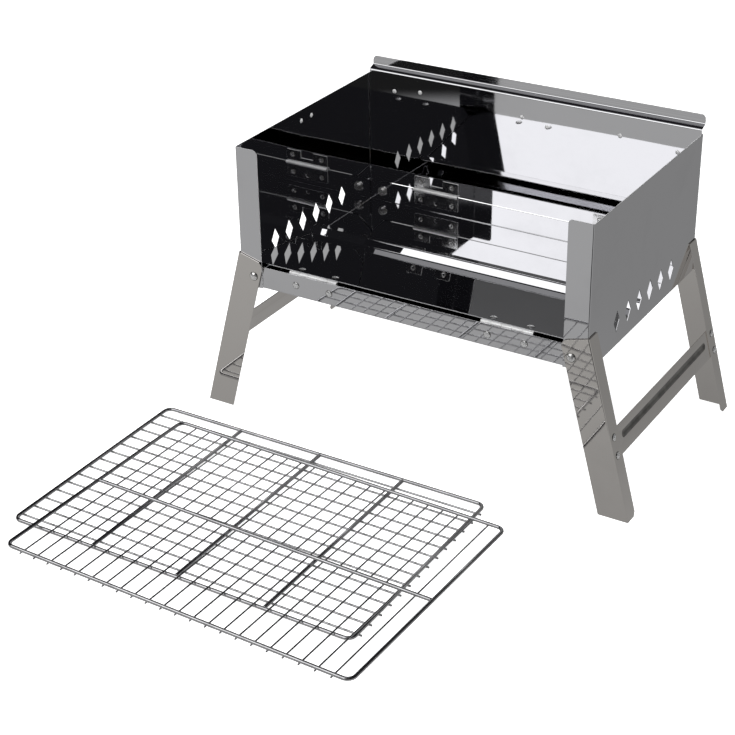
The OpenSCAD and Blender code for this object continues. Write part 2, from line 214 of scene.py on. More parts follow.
def rolled_rim(name, tint):
    """Where a panel's rim was roll-formed: fine lines drawn along it."""
    material, shader, start, place = new_material(name)
    lines = start.noise(stretched(start, place, (3, 1100, 1100)), 1.0, 2.0, 0.6)
    wide = start.noise(stretched(start, place, (2, 260, 260)), 1.0, 1.0, 0.5)
    drawn = start.make(
        "ShaderNodeBump",
        sockets={"Height": lines + 3 * wide, "Distance": 0.000012, "Strength": 1.0},
    )
    connect(
        shader,
        Base_Color=lines.step(0.3, 0.7).blend(tuple(0.9 * c for c in tint), tint),
        Metallic=1.0,
        Roughness=0.03 + 0.05 * lines,
        Normal=drawn,
    )
    return material


RIM_FINISH = rolled_rim("rolled_rim", STEEL_TINT)
SHEARED_EDGE = plated_metal("sheared_edge", (0.86, 0.86, 0.86), (0.68, 0.68, 0.68), 1500, 0.32, 0.3)
# A dark finish that paints shade: on the brace's groove and round the rims of rivet and bolt heads.
PAINTED_SHADE_FINISH = plated_metal("painted_shade_dark", (0.36, 0.35, 0.33), (0.28, 0.27, 0.26), 600, 0.28)

slots = {s["node"]: s["material_slot"] for s in frame["record"]["subparts"]}
for name, node in frame["nodes"].items():
    node.data.materials.clear()
    node.data.materials.append(MATERIALS[slots[name]])


# ---- Modelling by hand: every length below is in millimetres ----

def mm(*values):
    return Vector(values) * MM


def solo(piece):
    """Leaves edit mode, deselects everything and makes this piece the only one selected."""
    if bpy.context.mode != "OBJECT":
        bpy.ops.object.mode_set(mode="OBJECT")
    bpy.ops.object.select_all(action="DESELECT")
    piece.select_set(True)
    bpy.context.view_layer.objects.active = piece


def settle(piece):
    """Puts the piece's place, turn and scale into its mesh."""
    solo(piece)
    bpy.ops.object.transform_apply(location=True, rotation=True, scale=True)


def edit(piece):
    solo(piece)
    bpy.ops.object.mode_set(mode="EDIT")
    bpy.ops.mesh.select_all(action="SELECT")


def fresh():
    if bpy.context.mode != "OBJECT":
        bpy.ops.object.mode_set(mode="OBJECT")
    bpy.ops.object.select_all(action="DESELECT")


def started(name, scale):
    """Names the primitive just added and scales it to its size, in edit mode."""
    piece = bpy.context.active_object
    piece.name = name
    piece.scale = scale
    settle(piece)
    edit(piece)
    return piece


FACING_UP, FACING_FRONT, FACING_SIDE = (0, 0, 0), (math.pi / 2, 0, 0), (0, math.pi / 2, 0)


def blank(name, centre, size, facing):
    """A flat sheet blank: size is its extent along its own two axes."""
    fresh()
    bpy.ops.mesh.primitive_plane_add(size=1, location=mm(*centre), rotation=facing)
    return started(name, (size[0] * MM, size[1] * MM, 1))


def bar(name, centre, size):
    fresh()
    bpy.ops.mesh.primitive_cube_add(size=1, location=mm(*centre))
    return started(name, (size[0] * MM, size[1] * MM, size[2] * MM))


def rod(name, radius, length, facing, sides=16, centre=(0, 0, 0)):
    fresh()
    bpy.ops.mesh.primitive_cylinder_add(
        vertices=sides, radius=radius * MM, depth=length * MM, location=mm(*centre), rotation=facing
    )
    return started(name, (1, 1, 1))


def pick(kind, wanted):
    """Selects only the vertices, edges or faces that are wanted, told by their corners."""
    bpy.ops.mesh.select_mode(type=kind)
    bpy.ops.mesh.select_all(action="DESELECT")
    mesh = bmesh.from_edit_mesh(bpy.context.edit_object.data)
    for part in {"VERT": mesh.verts, "EDGE": mesh.edges, "FACE": mesh.faces}[kind]:
        corners = [part.co] if kind == "VERT" else [v.co for v in part.verts]
        if wanted([c / MM for c in corners]):
            part.select_set(True)
    mesh.select_flush_mode()
    bmesh.update_edit_mesh(bpy.context.edit_object.data)


def dress(piece, finish, wanted):
    """Gives one more finish to the faces that are wanted, told by corners and normal."""
    if not piece.data.materials:
        piece.data.materials.append(MATERIALS["polished_steel"])
    piece.data.materials.append(finish)
    edit(piece)
    bpy.ops.mesh.select_mode(type="FACE")
    bpy.ops.mesh.select_all(action="DESELECT")
    mesh = bmesh.from_edit_mesh(piece.data)
    for face in mesh.faces:
        if wanted([v.co / MM for v in face.verts], face.normal):
            face.select_set(True)
    bmesh.update_edit_mesh(piece.data)
    piece.active_material_index = len(piece.data.materials) - 1
    bpy.ops.object.material_slot_assign()
    solo(piece)


def near(value, target, slack=0.02):
    return abs(value - target) < slack


def all_near(axis, target):
    """True for a part whose corners all lie this far along an axis, on one side."""
    return lambda corners: all(
        near(abs(c[axis]), abs(target)) and near(c[axis], corners[0][axis]) for c in corners
    )


def pull(x, y, z):
    bpy.ops.mesh.extrude_edges_move(TRANSFORM_OT_translate={"value": mm(x, y, z)})


def raise_faces(x, y, z):
    bpy.ops.mesh.extrude_region_move(TRANSFORM_OT_translate={"value": mm(x, y, z)})


def round_off(offset, steps, corners=False):
    bpy.ops.mesh.bevel(
        offset=offset * MM, segments=steps, affect="VERTICES" if corners else "EDGES"
    )


def slice_off(point, direction, fill=False, keep=False):
    """Cuts all of the piece by a plane and removes what lies beyond it, unless it is kept."""
    bpy.ops.mesh.select_all(action="SELECT")
    bpy.ops.mesh.bisect(
        plane_co=mm(*point), plane_no=direction, clear_outer=not keep, use_fill=fill, threshold=1e-7
    )


def modifier(piece, kind, **settings):
    """Adds a modifier and applies it."""
    solo(piece)
    bpy.ops.object.modifier_add(type=kind)
    added = piece.modifiers[-1]
    for key, value in settings.items():
        setattr(added, key, value)
    bpy.ops.object.modifier_apply(modifier=added.name)


def thicken(piece, thickness, side):
    """Gives a bent blank its thickness: side -1 behind its face, 0 about it, 1 in front."""
    modifier(piece, "SOLIDIFY", thickness=thickness * MM, offset=side, use_even_offset=True)


def cut(piece, cutter, operation="DIFFERENCE"):
    fresh()
    modifier(piece, "BOOLEAN", object=cutter, operation=operation, solver="EXACT")
    bpy.data.objects.remove(cutter)


def break_edges(piece, width, steps=2):
    """Takes the sharpness off the sheared edges."""
    modifier(
        piece, "BEVEL", width=width * MM, segments=steps, limit_method="ANGLE",
        angle_limit=math.radians(50), use_clamp_overlap=True,
    )
    edit(piece)
    bpy.ops.mesh.remove_doubles(threshold=2e-6)
    bpy.ops.mesh.dissolve_degenerate(threshold=2e-6)
    solo(piece)


def face_out(piece):
    """Turns every face round if the closed piece is inside out."""
    edit(piece)
    if bmesh.from_edit_mesh(piece.data).calc_volume(signed=True) < 0:
        bpy.ops.mesh.flip_normals()
    solo(piece)


def outward(piece):
    edit(piece)
    bpy.ops.mesh.remove_doubles(threshold=1e-7)
    bpy.ops.mesh.normals_make_consistent(inside=False)
    face_out(piece)


def copied(piece, name, place):
    """A copy with its own mesh, put in its place."""
    solo(piece)
    bpy.ops.object.duplicate(linked=False)
    copy = bpy.context.active_object
    copy.name = name
    copy.matrix_world = place
    settle(copy)
    face_out(copy)
    return copy


def joined(pieces, name):
    solo(pieces[0])
    for piece in pieces:
        piece.select_set(True)
    if len(pieces) > 1:
        bpy.ops.object.join()
    pieces[0].name = name
    return pieces[0]


def smooth(piece, angle=48):
    solo(piece)
    bpy.ops.object.shade_smooth_by_angle(angle=math.radians(angle))
    modifier(piece, "WEIGHTED_NORMAL", mode="FACE_AREA", weight=100, keep_sharp=True)


def hand_over(piece, body, *nodes):
    """The finished piece takes the place of its CAD nodes on a body."""
    smooth(piece)
    if not piece.data.materials:
        piece.data.materials.append(MATERIALS[slots[nodes[0]]])
    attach(piece, body)
    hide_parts(*nodes)


def set_of(master, name, places):
    """One piece of several copies of a master, one at each place."""
    return joined([copied(master, name, place) for place in places], name)


def turned(name, profile, sides=32):
    """A turned solid about +Z: a disc drawn out through rings of (radius, height)."""
    fresh()
    radius, height = profile[0]
    bpy.ops.mesh.primitive_circle_add(
        vertices=sides, radius=radius * MM, fill_type="NGON", location=mm(0, 0, height)
    )
    piece = started(name, (1, 1, 1))
    bpy.ops.mesh.select_mode(type="FACE")
    bpy.ops.mesh.select_all(action="SELECT")
    for wide, high in profile[1:]:
        raise_faces(0, 0, high - height)
        bpy.ops.transform.resize(
            value=(wide / radius, wide / radius, 1), center_override=mm(0, 0, high)
        )
        radius, height = wide, high
    outward(piece)
    return piece


def domed(radius, height, steps=6):
    """Rings of a domed head above height 0, from its edge to its crown."""
    ball = (radius * radius + height * height) / (2 * height)
    reach = math.asin(radius / ball)
    angles = [reach * (1 - i / steps) for i in range(1, steps)] + [0.04 * reach]
    return [(ball * math.sin(a), height - ball + ball * math.cos(a)) for a in angles]


def dimple(name):
    """A pressed dimple that stands out along +Z; its foot is sunk in the sheet."""
    shape = (
        (0.92, 0.2), (0.8, 0.45), (0.62, 0.78), (0.42, 1.02), (0.2, 1.15), (0.05, 1.18)
    )
    foot = [(DIMPLE_R + 0.15, -0.15), (DIMPLE_R, 0.02)]
    return turned(name, foot + [(part * DIMPLE_R, height) for part, height in shape], 24)


def moved(x, y, z):
    return Matrix.Translation(mm(x, y, z))


def turn(degrees, axis):
    return Matrix.Rotation(math.radians(degrees), 4, axis)


def flip(axis):
    return Matrix.Scale(-1, 4, axis)


ALONG_X, ALONG_Y = Vector((1, 0, 0)), Vector((0, 1, 0))

# Sizes of the sheet parts
SHEET = 0.8
EDGE_BREAK = 0.14
BEND_R = 1.6
FLANGE_W = 26.5
CORNER_R = 4.5
VENT_COUNT, VENT_PITCH, VENT_W, VENT_H, VENT_UP = 6, 27, 14, 24, 26.8
WALL_DIMPLE_Y, WALL_DIMPLE_DROP = 10, 12
PANEL_OUT = 2.1
PANEL_FOOT, PANEL_H = 0.5, 133
RIM_STEP, RIM_RISE, LIP_LEAN, LIP_H = 8.5, 3.5, 0.5, 10
RIM_BENDS = ((PANEL_H, 67.6), (PANEL_H + RIM_RISE, 64.8))
NOTCH_W, NOTCH_H = 17, 42
LIP_CORNER_R = 5
DIMPLE_R = 2.5
DIMPLES_AT = ((-166, 112), (-133, 116), (-6, 110), (24, 104), (109, 110), (174, 104))
HINGE_LEN, HINGE_X, KNUCKLES, KNUCKLE_R = 57, 111.7, 5, 2
LEAF_SHEET = 0.8
BASE_LEAF_H, PANEL_LEAF_H, PANEL_LEAF_NOTCH = 16, 14, (17, 8.5)
PIN_R, PIN_END, KNUCKLE_ROLL, KNUCKLE_GAP = 1.1, 0.3, 300, 0.15
LEAF_RIVET_X = 20.2
BASE_RIVET_DROP, PANEL_RIVET_UP = 12, 10

# Places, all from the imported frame
tray_low, tray_high = (Vector(v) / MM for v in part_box("base_tray"))
wall_low, wall_high = (Vector(v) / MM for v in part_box("right_wall"))
pins_low, pins_high = (Vector(v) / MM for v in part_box("rear_left_hinge_pin"))
bolts_low, bolts_high = (Vector(v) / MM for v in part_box("pivot_bolts"))
middle = (tray_low + tray_high) / 2
middle.z = 0
WALL_X = wall_high.x - middle.x
FLANGE_Y = (wall_high.y - wall_low.y) / 2
WALL_Z, WALL_H = wall_low.z, wall_high.z - wall_low.z
TRAY_X, TRAY_Y = tray_high.x - middle.x, tray_high.y - middle.y
TRAY_Z, TRAY_H = tray_low.z, tray_high.z - tray_low.z
PIN_Y = (pins_low.y + pins_high.y) / 2 - middle.y
PIN_Z = (pins_low.z + pins_high.z) / 2
PANEL_X = WALL_X - 1.5
BOLT_HEAD_R, BOLT_HEAD_H = 4.9, 2.5
PIVOT_X = bolts_high.x - middle.x - BOLT_HEAD_R
PIVOT_Z = (bolts_low.z + bolts_high.z) / 2
FOLD = next(j["range_deg"][1] for j in frame["joints"] if j["name"] == "front_panel_hinge")

HOME = moved(*middle)
REAR_LINE = HOME @ moved(0, PIN_Y, PIN_Z)
FRONT_LINE = HOME @ flip(ALONG_Y) @ moved(0, PIN_Y, PIN_Z)
FOLDED_LINE = FRONT_LINE @ turn(FOLD, "X")


# ---- Firebox ----

def wall_blank():
    """A side wall, drawn on the right: a blank with two bent flanges and its vents."""
    top = WALL_Z + WALL_H
    wall = blank(
        "wall_master", (WALL_X, 0, WALL_Z + WALL_H / 2), (WALL_H, 2 * FLANGE_Y), FACING_SIDE
    )
    pick("EDGE", all_near(1, FLANGE_Y))
    pull(-FLANGE_W, 0, 0)
    pick("EDGE", lambda c: all_near(1, FLANGE_Y)(c) and all_near(0, WALL_X)(c))
    round_off(BEND_R, 5)
    pick("VERT", lambda c: near(c[0].x, WALL_X - FLANGE_W) and near(c[0].z, top))
    round_off(CORNER_R, 5, corners=True)
    thicken(wall, SHEET, -1)
    vent = rod("vent_cutter", 1, 6, FACING_SIDE, 4)
    solo(vent)
    vent.scale = (1, VENT_W / 2, VENT_H / 2)
    settle(vent)
    edit(vent)
    pick("EDGE", lambda c: near(c[0].y, c[1].y) and near(c[0].z, c[1].z))
    round_off(0.5, 2)
    cutter = set_of(vent, "vents_cutter", [
        moved(WALL_X, (i - (VENT_COUNT - 1) / 2) * VENT_PITCH, WALL_Z + VENT_UP)
        for i in range(VENT_COUNT)
    ])
    bpy.data.objects.remove(vent)
    cut(wall, cutter)
    break_edges(wall, EDGE_BREAK)
    dress(wall, SHEARED_EDGE,
          lambda c, n: all_near(2, top)(c) or n.x < -0.9 and c[0].x < WALL_X - 5)
    stud = dimple("wall_dimple")
    studs = set_of(stud, "wall_dimples", [
        moved(WALL_X - SHEET, side * WALL_DIMPLE_Y, top - WALL_DIMPLE_DROP) @ turn(-90, "Y")
        for side in (-1, 1)
    ])
    bpy.data.objects.remove(stud)
    return joined([wall, studs], "wall_master")


wall = wall_blank()
hand_over(copied(wall, "right_side_wall", HOME), "firebox", "right_wall")
hand_over(copied(wall, "left_side_wall", HOME @ flip(ALONG_X)), "firebox", "left_wall")
bpy.data.objects.remove(wall)

tray = blank("tray_master", (0, 0, TRAY_Z), (2 * TRAY_X, 2 * TRAY_Y), FACING_UP)
pick("EDGE", all_near(1, TRAY_Y))
pull(0, 0, TRAY_H)
pick("EDGE", lambda c: all_near(1, TRAY_Y)(c) and all_near(2, TRAY_Z)(c))
round_off(BEND_R, 5)
pick("VERT", lambda c: near(c[0].z, TRAY_Z + TRAY_H))
round_off(CORNER_R, 5, corners=True)
thicken(tray, SHEET, 1)
break_edges(tray, EDGE_BREAK)
hand_over(copied(tray, "tray_sheet", HOME), "firebox", "base_tray")
bpy.data.objects.remove(tray)


# ---- Folding panels, drawn about the hinge pin: +Y leaves the firebox ----

def bend_offset(turned_by, radius=2.0):
    return radius * math.tan(math.radians(turned_by) / 2)


def panel_blank():
    out = PANEL_OUT + SHEET / 2
    top = PANEL_H + RIM_RISE + LIP_H
    panel = blank(
        "panel_master", (0, out, (PANEL_FOOT + PANEL_H) / 2),
        (2 * PANEL_X, PANEL_H - PANEL_FOOT), FACING_FRONT,
    )
    pick("EDGE", all_near(2, PANEL_H))
    pull(0, RIM_STEP, RIM_RISE)
    pull(0, LIP_LEAN, LIP_H)
    for height, turned_by in RIM_BENDS:
        pick("EDGE", all_near(2, height))
        round_off(bend_offset(turned_by), 6)
    for side in (-1, 1):
        slice_off((side * (PANEL_X - NOTCH_W), out, PANEL_FOOT), (side * NOTCH_H, 0, -NOTCH_W))
    pick("VERT", all_near(2, top))
    round_off(LIP_CORNER_R, 6, corners=True)
    thicken(panel, SHEET, 0)
    break_edges(panel, EDGE_BREAK)
    dress(panel, RIM_FINISH, lambda c, n: all(v.z > PANEL_H + 0.4 for v in c))
    dress(panel, SHEARED_EDGE, lambda c, n: abs(n.x) > 0.4 or all(v.z > top - 0.3 for v in c))
    stud = dimple("panel_dimple")
    studs = set_of(stud, "panel_dimples", [
        moved(x, PANEL_OUT, up) @ turn(90, "X") for x, up in DIMPLES_AT
    ])
    bpy.data.objects.remove(stud)
    return joined([panel, studs], "panel_master")


panel = panel_blank()
hand_over(copied(panel, "rear_panel_sheet", REAR_LINE), "back_panel_body", "back_panel")
hand_over(copied(panel, "front_panel_sheet", FOLDED_LINE), "front_panel_body", "front_panel")
bpy.data.objects.remove(panel)


# ---- Hinges ----

def leaf_master(name, height, first_knuckle, notch):
    """A leaf that rises from the pin, its lower edge rolled round the pin in knuckles."""
    top = height + KNUCKLE_R
    out = PANEL_OUT - LEAF_SHEET / 2
    leaf = blank(name, (0, out, (KNUCKLE_R + top) / 2), (HINGE_LEN, top - KNUCKLE_R), FACING_FRONT)
    step = HINGE_LEN / KNUCKLES
    rolled = [
        (i * step - HINGE_LEN / 2 + KNUCKLE_GAP, (i + 1) * step - HINGE_LEN / 2 - KNUCKLE_GAP)
        for i in range(first_knuckle, KNUCKLES, 2)
    ]
    for low, high in rolled:
        for x in (low, high):
            if abs(x) < HINGE_LEN / 2 - 0.2:
                slice_off((x, 0, 0), (1, 0, 0), keep=True)
    if notch:
        half, floor_z = notch[0] / 2, top - notch[1]
        for x in (-half, half):
            slice_off((x, 0, 0), (1, 0, 0), keep=True)
        slice_off((0, 0, floor_z), (0, 0, 1), keep=True)
        pick("FACE", lambda c: all(abs(v.x) < half + 0.01 and v.z > floor_z - 0.01 for v in c))
        bpy.ops.mesh.delete(type="FACE")

    def is_rolled(c):
        between = (c[0].x + c[1].x) / 2
        return all(near(v.z, KNUCKLE_R) for v in c) and any(
            low - 0.01 < between < high + 0.01 for low, high in rolled
        )

    pick("EDGE", is_rolled)
    pull(0, 0, -KNUCKLE_R)
    bpy.ops.mesh.spin(
        steps=14, angle=math.radians(KNUCKLE_ROLL), center=(0, 0, 0), axis=(1, 0, 0)
    )
    pick("VERT", lambda c: near(c[0].z, top) and near(abs(c[0].x), HINGE_LEN / 2))
    round_off(1.2, 3, corners=True)
    bpy.ops.mesh.select_all(action="SELECT")
    bpy.ops.mesh.remove_doubles(threshold=1e-7)
    bpy.ops.mesh.normals_make_consistent(inside=False)
    thicken(leaf, 0.7, 0)
    if not notch:
        cut(leaf, rod("nail_hole", 2.2, 6, FACING_FRONT, 24, (0, out, BASE_RIVET_DROP + 1.4)))
    break_edges(leaf, 0.1, 1)
    leaf.data.materials.append(MATERIALS["hinge_steel"])
    dress(leaf, SHEARED_EDGE, lambda c, n: all(v.z < KNUCKLE_R + 0.1 for v in c) or abs(n.y) < 0.8)
    return leaf


base_leaf = leaf_master("base_leaf_master", BASE_LEAF_H, 0, None)
panel_leaf = leaf_master("panel_leaf_master", PANEL_LEAF_H, 1, PANEL_LEAF_NOTCH)
pin = rod("pin_master", PIN_R, HINGE_LEN + 2 * PIN_END, FACING_SIDE, 20)
pick("EDGE", all_near(0, HINGE_LEN / 2 + PIN_END))
round_off(0.25, 2)
solo(pin)
UNDER = flip(Vector((0, 0, 1)))
for side, across in (("left", -HINGE_X), ("right", HINGE_X)):
    for end, line, folded, body in (
        ("front", FRONT_LINE, FOLDED_LINE, "front_panel_body"),
        ("rear", REAR_LINE, REAR_LINE, "back_panel_body"),
    ):
        hinge = f"{end}_{side}"
        along = moved(across, 0, 0)
        hand_over(copied(base_leaf, hinge + "_lower_leaf", line @ along @ UNDER),
                  "firebox", hinge + "_base_leaf")
        hand_over(copied(panel_leaf, hinge + "_upper_leaf", folded @ along),
                  body, hinge + "_panel_leaf")
        hand_over(copied(pin, hinge + "_pin", line @ along), "firebox", hinge + "_hinge_pin")
for master in (base_leaf, panel_leaf, pin):
    bpy.data.objects.remove(master)


# ---- Rivets, drawn with the head above height 0 and the rolled end below ----

RIVET_HEAD_R, RIVET_HEAD_H, RIVET_SHANK_R = 4, 1.4, 1.6


def painted_shade_rim(piece, radius, height):
    """Paints shade on the edge of a head: the faces outside a radius and below a height get a dark finish, a
    painted dark rim where the head meets the sheet.
    """
    dress(piece, PAINTED_SHADE_FINISH, lambda c, n: all(
        math.hypot(v.x, v.y) > radius(v.z) and v.z < height for v in c
    ))


def rivet_master(name, grip):
    rolled_end = [
        (radius, depth - grip) for radius, depth in (
            (1.15, 0.4), (1.2, -0.4), (1.4, -0.6), (1.8, -0.69), (2.4, -0.69),
            (2.9, -0.55), (3.2, -0.3), (3.25, 0), (RIVET_SHANK_R, 0),
        )
    ]
    rivet = turned(
        name,
        rolled_end + [(RIVET_SHANK_R, 0), (RIVET_HEAD_R - 0.15, 0), (RIVET_HEAD_R, 0.12)]
        + domed(RIVET_HEAD_R, RIVET_HEAD_H),
    )
    rivet.data.materials.append(MATERIALS["rivet_steel"])
    # Painted shade: a dark rim round the head and the rolled end, where the rivet meets the sheet.
    painted_shade_rim(rivet, lambda z: 2.35 if z < 0.01 - grip else 3.2, 0.6)
    return rivet


RIVET_COLUMNS = [s * HINGE_X + t * LEAF_RIVET_X for s in (-1, 1) for t in (-1, 1)]
sheet_rivet = rivet_master("sheet_rivet_master", SHEET + LEAF_SHEET)


def rivet_spots(line, up):
    return [line @ moved(x, PANEL_OUT + SHEET, up) @ turn(-90, "X") for x in RIVET_COLUMNS]


tray_spots = rivet_spots(FRONT_LINE, -BASE_RIVET_DROP) + rivet_spots(REAR_LINE, -BASE_RIVET_DROP)
hand_over(set_of(sheet_rivet, "tray_rivet_set", tray_spots), "firebox", "tray_rivets")
hand_over(set_of(sheet_rivet, "rear_panel_rivet_set", rivet_spots(REAR_LINE, PANEL_RIVET_UP)),
          "back_panel_body", "back_panel_rivets")
hand_over(set_of(sheet_rivet, "front_panel_rivet_set", rivet_spots(FOLDED_LINE, PANEL_RIVET_UP)),
          "front_panel_body", "front_panel_rivets")
bpy.data.objects.remove(sheet_rivet)


# ---- Pivot bolts, washers and nuts, drawn along +Z with the outside of the grill above ----

LEG_SHEET = 1
LEG_FACE_Y = FLANGE_Y + 0.7
SPACER_T, WASHER_T, NUT_FLATS, NUT_H = 0.5, 0.8, 8, 3.6
NUT_FACE_Y = TRAY_Y - SHEET - WASHER_T
PIVOTS = [
    HOME @ fx @ fy @ moved(PIVOT_X, 0, PIVOT_Z)
    for fx in (Matrix.Identity(4), flip(ALONG_X)) for fy in (Matrix.Identity(4), flip(ALONG_Y))
]


def at_pivots(y):
    return [pivot @ moved(0, y, 0) @ turn(90, "X") for pivot in PIVOTS]


def washer_master(name, thickness):
    washer = turned(name, [(5.4, 0), (5.6, 0.12), (5.6, thickness - 0.12), (5.4, thickness)])
    cut(washer, rod("washer_hole", 2.6, 4, FACING_UP, 24))
    return washer


bolt = turned(
    "bolt_master",
    [(2.0, -8.4), (2.5, -8), (2.5, 0), (BOLT_HEAD_R - 0.2, 0), (BOLT_HEAD_R, 0.2),
     (BOLT_HEAD_R, 0.35)]
    + [(r, z) for r, z in domed(BOLT_HEAD_R, BOLT_HEAD_H) if z > 0.4],
)
bolt.data.materials.append(MATERIALS["bolt_steel"])
# Painted shade: a dark rim round the bolt head, below its crown.
painted_shade_rim(bolt, lambda z: BOLT_HEAD_R - 1, 1.3)
hand_over(set_of(bolt, "pivot_bolt_set", at_pivots(-(LEG_FACE_Y + LEG_SHEET + 0.1))),
          "firebox", "pivot_bolts")
spacer = washer_master("spacer_master", SPACER_T)
hand_over(set_of(spacer, "spacer_set", at_pivots(-FLANGE_Y)), "firebox", "spacer_washers")
washer = washer_master("washer_master", WASHER_T)
hand_over(set_of(washer, "washer_set", at_pivots(-NUT_FACE_Y)), "firebox", "nut_washers")
nut = rod("nut_master", NUT_FLATS / math.sqrt(3), NUT_H, FACING_UP, 6, (0, 0, NUT_H / 2))
round_off(0.7, 3)
cut(nut, rod("thread_hole", 2.52, 12, FACING_UP, 24))
hand_over(set_of(nut, "nut_set", at_pivots(-NUT_FACE_Y + NUT_H)), "firebox", "pivot_nuts")
for master in (bolt, spacer, washer, nut):
    bpy.data.objects.remove(master)


# ---- Legs, drawn about the pivot: -Z runs down the leg and +X leaves the firebox ----

SPLAY = 15
LEG_SIDE, LEG_W, LEG_DEPTH, LEG_TOP, LEG_REACH = 23.8, 31.5, 18, 18.5, 200
LEG_CORNER_R, LEG_BEND_R, FOOT_CHAMFER = 7, 1.8, 4
BRACE_Y, BRACE_W, BRACE_DOWN, BRACE_RIVET_Y = 130.4, 30.4, 96.6, 126
BRACE_RIVETS_DOWN = (88, 107.4)
GROOVE_Y, GROOVE_DOWN = 108, 94.2
RIGHT_LEGS = HOME @ moved(PIVOT_X, 0, PIVOT_Z) @ turn(-SPLAY, "Y")
LEFT_LEGS = HOME @ flip(ALONG_X) @ moved(PIVOT_X, 0, PIVOT_Z) @ turn(-SPLAY, "Y")


def leg_master():
    front = -LEG_FACE_Y - LEG_SHEET
    leg = blank("leg_master", (LEG_SIDE - LEG_W / 2, front, (LEG_TOP - LEG_REACH) / 2),
                (LEG_W, LEG_TOP + LEG_REACH), FACING_FRONT)
    pick("EDGE", lambda c: all(near(v.x, LEG_SIDE) for v in c))
    pull(0, LEG_DEPTH, 0)
    pick("EDGE", lambda c: all(near(v.x, LEG_SIDE) and near(v.y, front) for v in c))
    round_off(LEG_BEND_R, 5)
    pick("VERT", lambda c: near(c[0].x, LEG_SIDE - LEG_W) and near(c[0].z, LEG_TOP))
    round_off(LEG_CORNER_R, 6, corners=True)
    thicken(leg, LEG_SHEET, -1)
    edit(leg)
    to_leg = RIGHT_LEGS.inverted()
    ground = to_leg @ Vector((0, 0, 0)) / MM
    down = to_leg.to_3x3() @ Vector((0, 0, -1))
    slice_off(ground, down, fill=True)
    heel = to_leg @ (HOME @ mm(0, front + LEG_DEPTH, FOOT_CHAMFER)) / MM
    slice_off(heel, to_leg.to_3x3() @ Vector((0, 1, -1)), fill=True)
    break_edges(leg, 0.16)
    return leg


def slot_block(name, half_length, width, low, high, z, foot):
    """A block with round ends along Y, from low to high along X; its low side is foot wide."""
    block = blank(name, (low, 0, z), (width, 2 * half_length), FACING_SIDE)
    pick("VERT", lambda c: True)
    round_off(0.4999 * width, 6, corners=True)
    bpy.ops.mesh.select_mode(type="FACE")
    bpy.ops.mesh.select_all(action="SELECT")
    raise_faces(high - low, 0, 0)
    pick("FACE", all_near(0, low))
    bpy.ops.transform.resize(
        value=(1, 1 - (width - foot) / (2 * half_length), foot / width),
        center_override=mm(low, 0, z),
    )
    outward(block)
    return block


def brace_master():
    """A flat strip with a pressed groove along it; the groove's faces carry painted shade."""
    outer = LEG_SIDE - LEG_SHEET - 0.05
    inner = outer - LEG_SHEET
    strip = bar("brace_master", ((inner + outer) / 2, 0, -BRACE_DOWN),
                (LEG_SHEET, 2 * BRACE_Y, BRACE_W))
    cut(strip, slot_block("groove_back", GROOVE_Y + 0.5, 9.4, inner - 1.6, outer - 0.1,
                          -GROOVE_DOWN, 4.6), "UNION")
    cut(strip, slot_block("groove_cutter", GROOVE_Y, 8.4, inner - 0.6, outer + 0.05,
                          -GROOVE_DOWN, 2.6))
    break_edges(strip, 0.22)
    strip.data.materials.append(MATERIALS["leg_steel"])
    # Painted shade: the groove's sloping faces get the dark finish, so the groove reads darker than the strip.
    dress(strip, PAINTED_SHADE_FINISH, lambda c, n: n.x > 0.05 and min(v.x for v in c) < outer - 0.1
          and all(abs(v.z + GROOVE_DOWN) < 4.5 and abs(v.y) < GROOVE_Y + 0.2
                  and v.x < outer + 0.01 for v in c))
    return strip


leg, brace = leg_master(), brace_master()
leg_rivet = rivet_master("leg_rivet_master", 2.05)
for side, frame_place in (("left", LEFT_LEGS), ("right", RIGHT_LEGS)):
    body = side + "_leg_frame"
    hand_over(copied(leg, side + "_front_leg_angle", frame_place), body, side + "_front_leg")
    hand_over(copied(leg, side + "_rear_leg_angle", frame_place @ flip(ALONG_Y)),
              body, side + "_rear_leg")
    hand_over(copied(brace, side + "_brace_strip", frame_place), body, side + "_brace")
    heads = [
        frame_place @ moved(LEG_SIDE, y, -down) @ turn(90, "Y")
        for y in (-BRACE_RIVET_Y, BRACE_RIVET_Y) for down in BRACE_RIVETS_DOWN
    ]
    hand_over(set_of(leg_rivet, side + "_brace_rivet_set", heads), body, side + "_brace_rivets")
for master in (leg, brace, leg_rivet):
    bpy.data.objects.remove(master)


# ---- Grates ----

FRAME_WIRE = 4
COAL_WIRE, COAL_W, COAL_D, COAL_LINES, COAL_PITCH, COAL_BARS = 2.2, 395, 257, 14, 17.4, 100
COOK_WIRE, COOK_W, COOK_D, COOK_LINES, COOK_PITCH = 1.8, 399, 276, 22, 17
COOK_TURN = -1.5


def between_sides(size):
    """The length of a bar that sinks 1 mm into the frame wire at both ends."""
    return size - 2 * FRAME_WIRE + 2


def grate_centre(node):
    low, high = (Vector(v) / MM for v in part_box(node))
    return (low + high) / 2


def wire_ring(name, width, depth, place):
    """A rectangle of bent wire with round corners."""
    ring = blank(name, (0, 0, 0), (width - FRAME_WIRE, depth - FRAME_WIRE), FACING_UP)
    pick("VERT", lambda c: True)
    round_off(8, 8, corners=True)
    bpy.ops.mesh.select_mode(type="FACE")
    bpy.ops.mesh.select_all(action="SELECT")
    bpy.ops.mesh.delete(type="ONLY_FACE")
    solo(ring)
    bpy.ops.object.convert(target="CURVE")
    ring = bpy.context.active_object
    ring.data.bevel_depth = FRAME_WIRE / 2 * MM
    ring.data.bevel_resolution = 3
    bpy.ops.object.convert(target="MESH")
    ring = bpy.context.active_object
    ring.name = "ring_master"
    outward(ring)
    placed = copied(ring, name, place)
    bpy.data.objects.remove(ring)
    return placed


